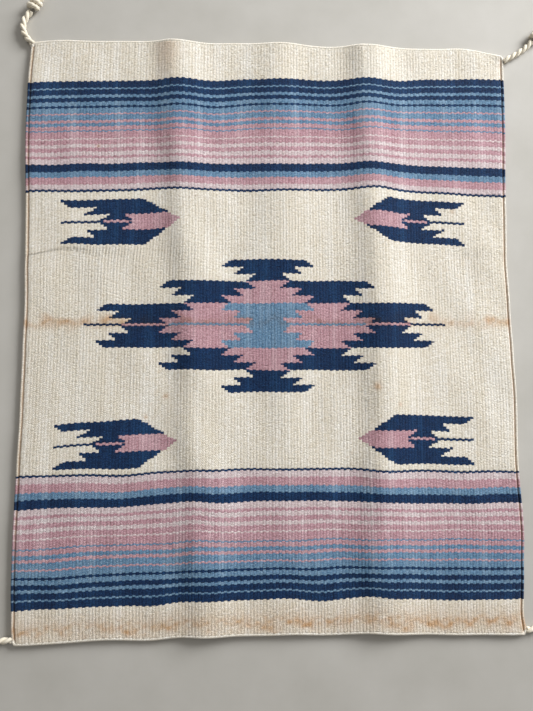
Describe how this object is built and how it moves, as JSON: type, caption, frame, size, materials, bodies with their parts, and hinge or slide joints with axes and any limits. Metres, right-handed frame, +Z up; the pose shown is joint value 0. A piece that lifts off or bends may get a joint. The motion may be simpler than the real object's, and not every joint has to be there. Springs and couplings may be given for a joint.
{
  "type": "saddle pad",
  "caption": "Hand-woven wool saddle blanket with stripes, stepped diamonds and corner cords, which folds in half along its centre line.",
  "frame": {"origin": "centre of the cloth's underside, on the surface that it lies on", "axes": "+Z up, +Y towards the head end, X across the cloth along the fold"},
  "size_m": [0.9387, 1.0098, 0.0138],
  "materials": {
    "cream_wool": "matte",
    "navy_wool": "matte",
    "light_blue_wool": "matte",
    "pink_wool": "matte",
    "pale_pink_wool": "matte",
    "warp_yarn": "matte",
    "corner_cord": "matte"
  },
  "bodies": {
    "head_half": {"centre_line_light_blue": "light_blue_wool", "centre_line_navy": "navy_wool", "centre_line_pink": "pink_wool", "head_cream_border": "cream_wool", "head_cream_field": "cream_wool", "head_end_cord": "cream_wool", "head_left_corner_cord": "corner_cord", "head_left_corner_knot": "corner_cord", "head_left_motif_navy": "navy_wool", "head_left_motif_pink": "pink_wool", "head_left_selvage_cord": "warp_yarn", "head_light_blue_bar": "light_blue_wool", "head_light_blue_stripes": "light_blue_wool", "head_medallion_light_blue": "light_blue_wool", "head_medallion_navy": "navy_wool", "head_medallion_pink": "pink_wool", "head_navy_bar": "navy_wool", "head_navy_line": "navy_wool", "head_navy_stripes": "navy_wool", "head_pale_pink_bar": "pale_pink_wool", "head_pale_pink_stripes": "pale_pink_wool", "head_pink_bar": "pink_wool", "head_pink_stripes": "pink_wool", "head_right_corner_cord": "corner_cord", "head_right_corner_knot": "corner_cord", "head_right_motif_navy": "navy_wool", "head_right_motif_pink": "pink_wool", "head_right_selvage_cord": "warp_yarn", "head_warps": "warp_yarn"},
    "foot_half": {"foot_cream_border": "cream_wool", "foot_cream_field": "cream_wool", "foot_end_cord": "cream_wool", "foot_left_corner_cord": "corner_cord", "foot_left_corner_knot": "corner_cord", "foot_left_motif_navy": "navy_wool", "foot_left_motif_pink": "pink_wool", "foot_left_selvage_cord": "warp_yarn", "foot_light_blue_bar": "light_blue_wool", "foot_light_blue_stripes": "light_blue_wool", "foot_medallion_light_blue": "light_blue_wool", "foot_medallion_navy": "navy_wool", "foot_medallion_pink": "pink_wool", "foot_navy_bar": "navy_wool", "foot_navy_line": "navy_wool", "foot_navy_stripes": "navy_wool", "foot_pale_pink_bar": "pale_pink_wool", "foot_pale_pink_stripes": "pale_pink_wool", "foot_pink_bar": "pink_wool", "foot_pink_stripes": "pink_wool", "foot_right_corner_cord": "corner_cord", "foot_right_corner_knot": "corner_cord", "foot_right_motif_navy": "navy_wool", "foot_right_motif_pink": "pink_wool", "foot_right_selvage_cord": "warp_yarn", "foot_warps": "warp_yarn"}
  },
  "joints": [
    {"name": "spine_fold", "type": "hinge", "parent": "head_half", "child": "foot_half", "pos_m": [0, 0, 0.0175], "axis": [-1, 0, 0], "range_deg": [0, 180]}
  ]
}
